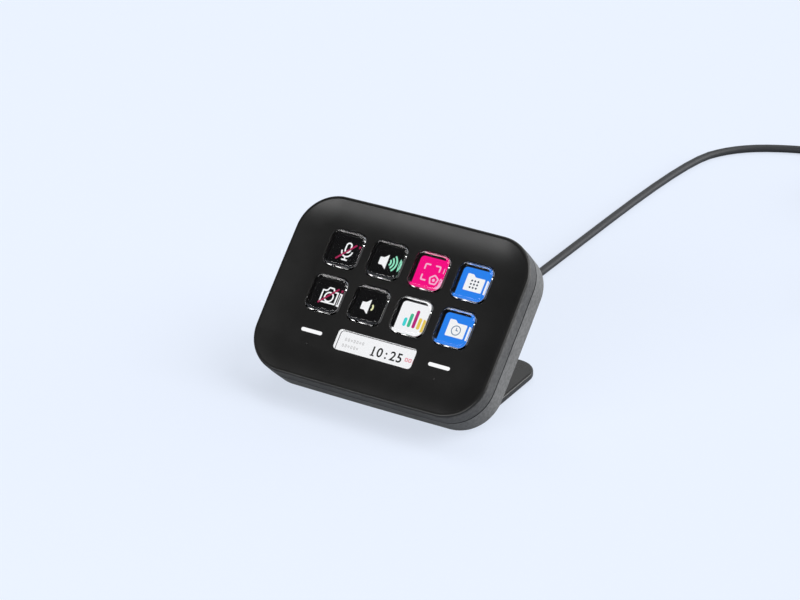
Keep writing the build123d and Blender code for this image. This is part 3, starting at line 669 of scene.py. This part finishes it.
# ---- icons --------------------------------------------------------------------------------------
picture_width, picture_height, picture_corner = 0.0139, 0.0134, 0.0016
picture_fall = 0.00025      # how far the lit ground lies below the middle of its key
picture_low, picture_high, icon_high = panel_top, -0.0039, -0.00385
icon_depth = icon_high - picture_high
icon_lift = 0.00003
stroke = 0.00062
sharp_corner, sharp_segments = 0.0004, 3
end_segments, capsule_segments, bend_segments = 5, 8, 4
ring_corners, dot_corners, house_corners = 72, 24, 5
folder_across = -0.0003
near_wave, middle_wave, far_wave = 0.00145, 0.00275, 0.0041


def mark(piece, material, across=0.0, up=0.0, turn=0.0):
    """A flat icon part, thickened, coloured and set at its place on the picture."""
    thicken(piece, icon_depth)
    coat(piece, material)
    return set_in(piece, Matrix.Translation((across, up, 0)) @ Matrix.Rotation(turn, 4, "Z"))


def bar(length, width, material, across=0.0, up=0.0, turn=0.0):
    """A straight stroke with round ends."""
    piece = open_rectangle("bar", length, width, picture_high)
    round_corners(piece, width * near_half, end_segments)
    return mark(piece, material, across, up, turn)


def ring(radius, width, material, across=0.0, up=0.0, turn=0.0, reach=pi):
    """A ring, or the part of it within a reach either side of +X."""
    piece = open_disc("ring", radius + width / 2, picture_high, ring_corners)
    hollow(piece, width)
    cut_away(piece, lambda middle: abs(atan2(middle.y, middle.x)) > reach)
    return mark(piece, material, across, up, turn)


def dot(radius, material, across=0.0, up=0.0):
    """A filled disc."""
    disc = open_disc("dot", radius, picture_high, dot_corners)
    return mark(disc, material, across, up)


def lifted(piece):
    """Raises an icon part a little, to lie over another."""
    piece.data.transform(Matrix.Translation((0, 0, icon_lift)))
    return piece


def slash(material, rise=0.0):
    """The diagonal stroke over a muted icon."""
    length, width, shift = 0.0104, 0.00074, -0.0003
    return lifted(bar(length, width, material, shift, rise + shift, radians(45)))


def microphone():
    """A microphone's outline on its cradle and foot, struck out."""
    capsule_width, capsule_height, capsule_corner = 0.0029, 0.0046, 0.00142
    cradle_radius, stem_height, foot_width = 0.0024, 0.0014, 0.0028
    capsule = open_rectangle("capsule", capsule_width, capsule_height, picture_high)
    round_corners(capsule, capsule_corner, capsule_segments)
    hollow(capsule, stroke)
    cradle = {"up": 0.0002, "turn": radians(-90), "reach": radians(88)}
    return [
        mark(capsule, lit_white, up=0.0016),
        ring(cradle_radius, stroke, lit_white, **cradle),
        bar(stroke, stem_height, lit_white, up=-0.0028),
        bar(foot_width, stroke, lit_white, up=-0.0036),
        slash(lit_crimson, rise=0.0001),
    ]


def camera_body():
    """A camera's outline with a lens ring, struck out."""
    width, height, body_up = 0.0076, 0.0055, -0.0004
    hump, hump_reach, hump_taper = 0.0014, 0.0019, 0.62
    lens_radius = 0.0019
    body = open_rectangle("camera_body", width, height, picture_high)
    for side in (-hump_reach, hump_reach):
        cut_across((side, 0, 0), (1, 0, 0))
    hump_edge = height / 2 - 0.0001
    pick(body, "EDGE", lambda middle: abs(middle.x) < 0.0001 and middle.y > hump_edge)
    pull(0, hump, 0)
    hump_top = (0, height / 2 + hump, picture_high)
    bpy.ops.transform.resize(value=(hump_taper, 1, 1), center_override=hump_top)
    one_face()
    round_corners(body, sharp_corner, sharp_segments)
    hollow(body, stroke)
    return [
        mark(body, lit_white, up=body_up),
        ring(lens_radius, stroke, lit_white, up=body_up),
        slash(lit_crimson, rise=0.0004),
    ]


def speaker(waves, material):
    """A loudspeaker with sound waves in one colour."""
    magnet, magnet_height, cone, mouth, corner = 0.0018, 0.0032, 0.0019, 0.0064, 0.00035
    horn_across, wave_across, wave_stroke, wave_reach = -0.0036, -0.0006, 0.0007, radians(50)
    horn = open_rectangle("horn", magnet, magnet_height, picture_high)
    pick(horn, "EDGE", lambda middle: middle.x > magnet * near_half)
    pull(cone, 0, 0)
    mouth_middle = (magnet / 2 + cone, 0, picture_high)
    flare = (1, mouth / magnet_height, 1)
    bpy.ops.transform.resize(value=flare, center_override=mouth_middle)
    one_face()
    outer = magnet * near_half
    round_corners(horn, corner, sharp_segments, lambda place: abs(place.x) > outer)
    marks = [mark(horn, lit_white, horn_across)]
    for radius in waves:
        marks.append(ring(radius, wave_stroke, material, wave_across, reach=wave_reach))
    return marks


def corner_brackets():
    """Four picture corners, with a small house in front of the lower right one."""
    size, corner, half_gap = 0.0073, 0.0007, 0.0011
    brackets_across, brackets_up = -0.0004, 0.0001
    house_radius, house_corner, house_across, house_up = 0.0024, 0.0005, 0.0019, -0.0024
    window_radius, window_drop = 0.00062, 0.0001
    brackets = open_rectangle("brackets", size, size, picture_high)
    round_corners(brackets, corner, bend_segments)
    hollow(brackets, stroke)
    for side in (-half_gap, half_gap):
        cut_across((side, 0, 0), (1, 0, 0))
        cut_across((0, side, 0), (0, 1, 0))
    cut_away(brackets, lambda middle: min(abs(middle.x), abs(middle.y)) < half_gap)
    cut_away(brackets, lambda middle: middle.x > 0 and middle.y < 0)
    mark(brackets, lit_pink, brackets_across, brackets_up)
    house = open_disc("house", house_radius, picture_high, house_corners)
    round_corners(house, house_corner, bend_segments)
    hollow(house, stroke)
    return [
        brackets,
        mark(house, lit_pink, house_across, house_up),
        dot(window_radius, lit_pink, house_across, house_up - window_drop),
    ]


def folder():
    """A plain folder with a raised tab."""
    width, height = 0.0081, 0.0059
    tab, tab_end, tab_slant = 0.0011, -0.0004, 0.0011
    cover = open_rectangle("folder", width, height, picture_high)
    cut_across((tab_end, 0, 0), (1, 0, 0))
    pick(cover, "EDGE", lambda middle: middle.x < -0.001 and middle.y > height * near_half)
    pull(0, tab, 0)
    tab_middle = height / 2 + tab * 0.5
    pick(cover, "VERT", lambda place: place.x > -0.001 and place.y > tab_middle)
    bpy.ops.transform.translate(value=(-tab_slant, 0, 0))
    one_face()
    round_corners(cover, sharp_corner, sharp_segments)
    return mark(cover, lit_white, folder_across)


def grid_folder():
    """A folder with nine dots on it."""
    pitch, radius = 0.0014, 0.0004
    marks = [folder()]
    for column in (-1, 0, 1):
        for row in (-1, 0, 1):
            across = column * pitch + folder_across
            marks.append(lifted(dot(radius, lit_navy, across, row * pitch)))
    return marks


def clock_folder():
    """A folder with a plain clock on it."""
    radius, width, clock_up = 0.0019, 0.00034, -0.0001
    long_hand, long_up, short_hand, short_across = 0.0013, 0.0004, 0.0010, 0.0001
    return [
        folder(),
        lifted(ring(radius, width, lit_slate, folder_across, clock_up)),
        lifted(bar(long_hand, width, lit_slate, folder_across, long_up, radians(90))),
        lifted(bar(short_hand, width, lit_slate, short_across, clock_up)),
    ]


def bar_chart():
    """A chart of four upright bars in four colours."""
    heights = (0.0036, 0.0058, 0.0076, 0.0048)
    pitch, width, foot = 0.0021, 0.0014, -0.0038
    marks = []
    for number, (height, material) in enumerate(zip(heights, chart_colours)):
        across = (number - 1.5) * pitch
        marks.append(bar(height, width, material, across, height / 2 + foot, radians(90)))
    return marks


# ---- pictures under the keys --------------------------------------------------------------------
pictures = {
    (1, 1): (lit_black, microphone),
    (1, 2): (lit_black, lambda: speaker((near_wave, middle_wave, far_wave), lit_green)),
    (1, 3): (lit_magenta, corner_brackets),
    (1, 4): (lit_blue, grid_folder),
    (2, 1): (lit_black, camera_body),
    (2, 2): (lit_black, lambda: speaker((near_wave,), lit_yellow)),
    (2, 3): (lit_white, bar_chart),
    (2, 4): (lit_blue, clock_folder),
}


def add_pictures():
    """The lit picture under each key, on the display panel."""
    for (row, column), (ground, draw_icon) in pictures.items():
        square = open_rectangle("picture", picture_width, picture_height, picture_low)
        round_corners(square, picture_corner)
        thicken(square, picture_high - picture_low)
        square.data.transform(Matrix.Translation((0, -picture_fall, 0)))
        coat(square, ground)
        picture = join(f"picture_{row}_{column}", [square, *draw_icon()])
        set_in(picture, key_middle(row, column))
        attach(picture, "body")


# ---- info bar -----------------------------------------------------------------------------------
screen_width, screen_height, screen_corner, screen_depth = 0.0385, 0.0114, 0.0016, 0.0001
edge_reach, edge_stroke = 0.0005, 0.0003
digit_size, digit_boldness = 0.0053, 0.00008
digit_pitch, digit_across, digit_up = 0.0030, 0.0045, -0.0006
serif_width, serif_stroke, serif_drop = 0.0019, 0.00046, 0.0017
box_corner, low_box = 0.00024, 0.65

# Rows of small boxes: how many, their pitch, width, height and stroke, their colour, and where
# the first one is.
box_rows = [
    (7, 0.00132, 0.00078, 0.0013, 0.00024, lit_silver, -0.0148, 0.0012),
    (6, 0.00132, 0.00078, 0.0013, 0.00024, lit_silver, -0.0152, -0.0014),
    (2, 0.0016, 0.0013, 0.0015, 0.00034, lit_rose, 0.0137, -0.0003),
]


def digit(figure, across, up):
    """One plain black figure of the clock, or its colon."""
    deselect()
    bpy.ops.object.text_add(location=(0, 0, 0))
    piece = bpy.context.object
    piece.data.body = figure
    piece.data.align_x = "CENTER"
    piece.data.align_y = "CENTER"
    piece.data.size = digit_size
    piece.data.offset = digit_boldness
    piece.data.extrude = icon_depth / 2
    bpy.ops.object.convert(target="MESH")
    coat(piece, lit_black)
    return set_in(piece, Matrix.Translation((across, up, picture_high + icon_depth / 2)))


def small_boxes(count, pitch, width, height, line, material, across, up):
    """A row of small hollow boxes, every third one lower, in the place of small text."""
    boxes = []
    for number in range(count):
        tall = height * low_box if number % 3 == 2 else height
        box = open_rectangle("box", width, tall, picture_high)
        round_corners(box, box_corner, sharp_segments)
        hollow(box, line)
        boxes.append(mark(box, material, across + number * pitch, up))
    return boxes


def add_info_bar():
    """The info bar's screen: a clock, three rows of small boxes and the window's edge line."""
    screen = open_rectangle("screen", screen_width, screen_height, mat_top)
    round_corners(screen, screen_corner)
    thicken(screen, screen_depth)
    coat(screen, lit_white)
    marks = []
    for number, figure in enumerate("10:25"):
        marks.append(digit(figure, digit_across + (number - 2) * digit_pitch, digit_up))
    first_digit = digit_across - 2 * digit_pitch
    marks.append(bar(serif_width, serif_stroke, lit_black, first_digit, digit_up - serif_drop))
    for row in box_rows:
        marks += small_boxes(*row)
    edge_size = (window_width + edge_reach, window_height + edge_reach)
    edge = open_rectangle("edge", *edge_size, picture_high)
    round_corners(edge, window_corner)
    hollow(edge, edge_stroke)
    marks.append(mark(edge, lit_graphite))
    lift = Matrix.Translation((0, 0, mat_top + screen_depth - picture_high))
    for piece in marks:
        piece.data.transform(lift)
    info = join("infobar_screen", [screen, *marks])
    set_in(info, deck @ Matrix.Translation((0, bar_up, 0)))
    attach(info, "body")


# ---- cable --------------------------------------------------------------------------------------
def coil_spots():
    """Two flat layers of turns, inwards on the desk and outwards above them."""
    turns_in, turns_up, turns_out = 4.0, 0.5, 3.75
    first, inner_low, inner_high, last = 0.0287, 0.0139, 0.0132, 0.0278
    low, high = 0.0025, 0.0060
    turn_steps = 18
    spots = []
    for step in range(round((turns_in + turns_up + turns_out) * turn_steps) + 1):
        turns = step / turn_steps
        if turns <= turns_in:
            radius = first + (inner_low - first) * turns / turns_in
            height = low
        elif turns <= turns_in + turns_up:
            share = (turns - turns_in) / turns_up
            radius = inner_low + (inner_high - inner_low) * share
            height = low + (high - low) * share
        else:
            share = (turns - turns_in - turns_up) / turns_out
            radius = inner_high + (last - inner_high) * share
            height = high
        angle = radians(90) - 2 * pi * turns
        spots.append((coil_x + radius * cos(angle), coil_y + radius * sin(angle), height))
    return spots


def add_cable():
    """The cable: down to the desk, straight back, round into its coil and out to the plug."""
    mouth = slab_spot(0, cable_exit_up, relief_end)
    touch_down = mouth.y + mouth.z - cable_radius
    route = [
        (0, mouth.y, mouth.z),
        (0, touch_down, cable_radius),
        (0.0006, 0.1046, cable_radius),
        (0.00275, 0.2460, cable_radius),
        (0.0155, 0.2730, cable_radius),
        (0.0430, 0.2875, cable_radius),
        (0.0600, 0.2877, 0.0020),
        *coil_spots(),
        (0.1278, 0.2480, 0.0060),
        (0.1280, 0.2350, 0.0054),
        (0.1286, 0.2220, 0.0016),
        (plug_x, 0.2090, plug_z),
        (plug_x, 0.1970, plug_z),
    ]
    line = bpy.data.curves.new("cable", "CURVE")
    line.dimensions = "3D"
    line.bevel_depth = cable_radius
    line.bevel_resolution = 6
    line.resolution_u = 6
    line.use_fill_caps = True
    spline = line.splines.new("NURBS")
    spline.points.add(len(route) - 1)
    for point, spot in zip(spline.points, route):
        point.co = (*spot, 1)
    spline.order_u = 3
    spline.use_endpoint_u = True
    cable = bpy.data.objects.new("cable", line)
    bpy.context.scene.collection.objects.link(cable)
    coat(cable, cable_vinyl)
    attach(cable, "body")
    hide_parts("cable_run", "cable_coil", "cable_tail")


bpy.context.scene.view_settings.view_transform = "Standard"
set_camera()
set_room()
hang_lamps()
add_floor()
dress_solids()
add_pictures()
add_key_caps()
add_info_bar()
add_cable()
